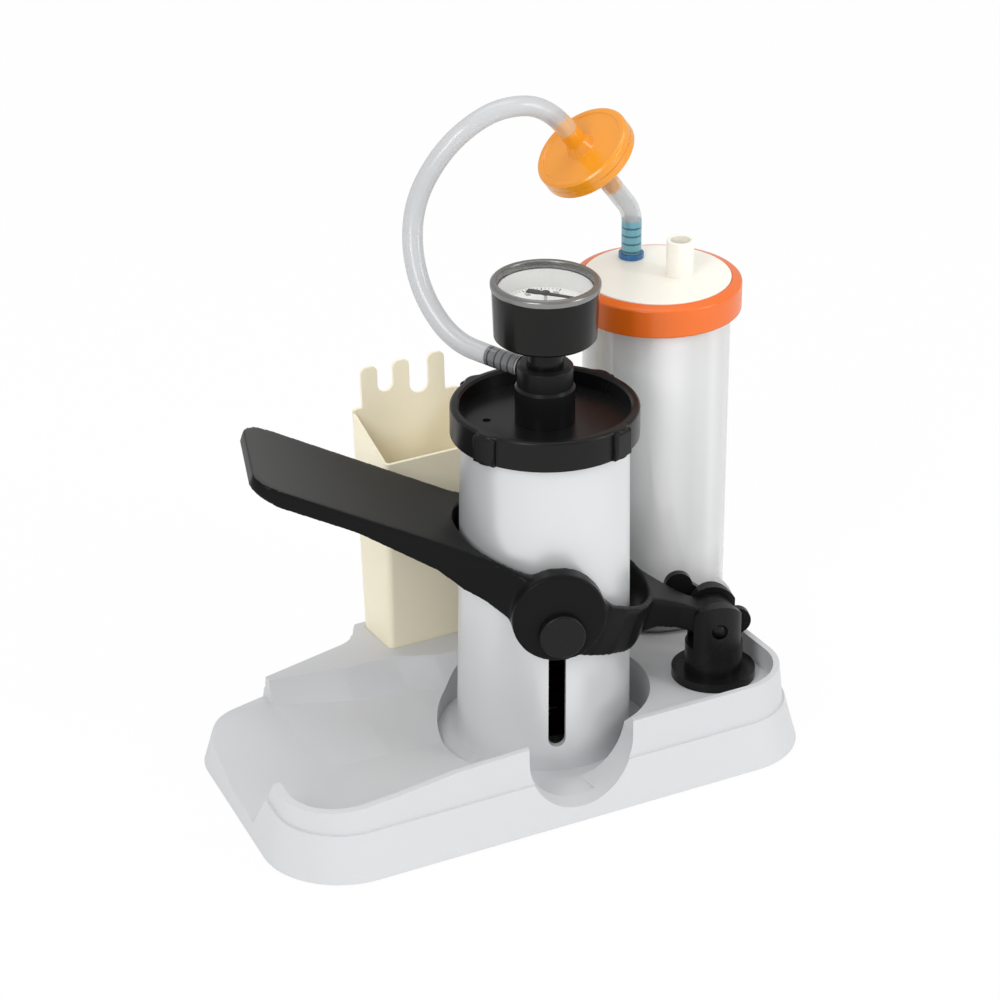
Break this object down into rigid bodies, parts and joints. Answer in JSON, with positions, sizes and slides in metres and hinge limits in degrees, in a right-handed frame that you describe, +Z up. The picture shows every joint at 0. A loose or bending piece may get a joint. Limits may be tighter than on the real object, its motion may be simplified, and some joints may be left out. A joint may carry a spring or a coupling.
{
  "type": "foot-pedal vacuum aspirator",
  "caption": "Foot-pedal suction pump on a moulded base, with a vacuum gauge, suction jar, filter, hose and catheter box.",
  "frame": {"origin": "on the ground under the pump, at the centre of the base's middle foot", "axes": "+Z up along the pump's axis, +X from the pump to the lever's pivot post, +Y to the back where the jar and the box stand; the base is turned 20.6 degrees about +Z"},
  "size_m": [0.3791, 0.3232, 0.4009],
  "materials": {
    "base_plastic": "satin",
    "rubber_dark": "matte",
    "steel": "brushed",
    "pump_silver": "satin anodised",
    "black_plastic": "gloss",
    "black_case": "satin",
    "bezel_metal": "satin",
    "liner_silver": "satin",
    "glass_clear": "polished",
    "dial_white": "printed",
    "brass": "plain",
    "jar_clear": "moulded",
    "lid_ivory": "satin",
    "ring_orange": "satin",
    "barb_blue": "satin",
    "barb_base_blue": "satin",
    "filter_amber": "satin",
    "membrane": "matte",
    "hose_clear": "soft",
    "box_cream": "satin",
    "white_plastic": "satin"
  },
  "bodies": {
    "base": {"base_tray": "base_plastic", "rubber_feet": "rubber_dark", "pump_screws": "steel", "post_screws": "steel", "pump_housing": "pump_silver", "spring_seat": "black_plastic", "return_spring": "steel", "pump_cap": "black_plastic", "cap_gasket": "rubber_dark", "inlet_keeper": "white_plastic", "tee_body": "black_plastic", "gauge_stem": "black_plastic", "gauge_case": "black_case", "gauge_bezel": "bezel_metal", "gauge_liner": "liner_silver", "gauge_glass": "glass_clear", "gauge_dial": "dial_white", "gauge_movement": "brass", "pivot_post": "black_plastic", "pivot_bolt": "steel", "wing_nut": "black_plastic", "jar": "jar_clear", "lid_gasket": "rubber_dark", "jar_lid": "lid_ivory", "lid_barb": "barb_blue", "barb_ring": "barb_base_blue", "float_cage": "white_plastic", "filter_upper": "filter_amber", "filter_lower": "filter_amber", "filter_membrane": "membrane", "vacuum_hose": "hose_clear", "jar_hose": "hose_clear"},
    "lever": {"lever_yoke": "black_plastic"},
    "piston": {"piston_head": "white_plastic", "piston_seal": "rubber_dark", "flap_screw": "steel", "piston_rod": "steel", "crosshead": "white_plastic", "cross_pin": "steel", "pin_caps": "black_plastic"},
    "exhaust_valve": {"exhaust_flap": "rubber_dark"},
    "inlet_valve": {"inlet_flap": "rubber_dark"},
    "pointer": {"gauge_pointer": "black_case"},
    "ball": {"float_ball": "white_plastic"},
    "collar": {"lid_ring": "ring_orange"},
    "box": {"catheter_box": "box_cream"}
  },
  "joints": [
    {"name": "lever_press", "type": "hinge", "parent": "base", "child": "lever", "pos_m": [0.11, 0, 0.078], "axis": [0, -1, 0], "range_deg": [0, 30]},
    {"name": "piston_slide", "type": "slide", "parent": "base", "child": "piston", "axis": [0, 0, -1], "range_m": [0, 0.0592], "stiffness_N_per_m": 1500, "springref_m": -0.02, "deforming": ["return_spring"]},
    {"name": "exhaust_flap_lift", "type": "slide", "parent": "piston", "child": "exhaust_valve", "axis": [0, 0, 1], "range_m": [0, 0.0015]},
    {"name": "inlet_flap_lift", "type": "slide", "parent": "base", "child": "inlet_valve", "axis": [0, 0, 1], "range_m": [0, 0.0015]},
    {"name": "pointer_turn", "type": "hinge", "parent": "base", "child": "pointer", "pos_m": [0, 0, 0.304], "axis": [0, 0, -1], "range_deg": [0, 270]},
    {"name": "float_rise", "type": "slide", "parent": "base", "child": "ball", "axis": [0, 0, 1], "range_m": [0, 0.02]},
    {"name": "collar_turn", "type": "hinge", "parent": "base", "child": "collar", "pos_m": [0.0882, 0.1015, 0.264], "axis": [0, 0, 1], "range_deg": [0, 90]},
    {"name": "box_lift", "type": "slide", "parent": "base", "child": "box", "axis": [0, 0, 1], "range_m": [0, 0.05]}
  ],
  "couplings": [
    {"joint": "piston_slide", "follows": "lever_press", "m_per_rad": 0.11284}
  ]
}
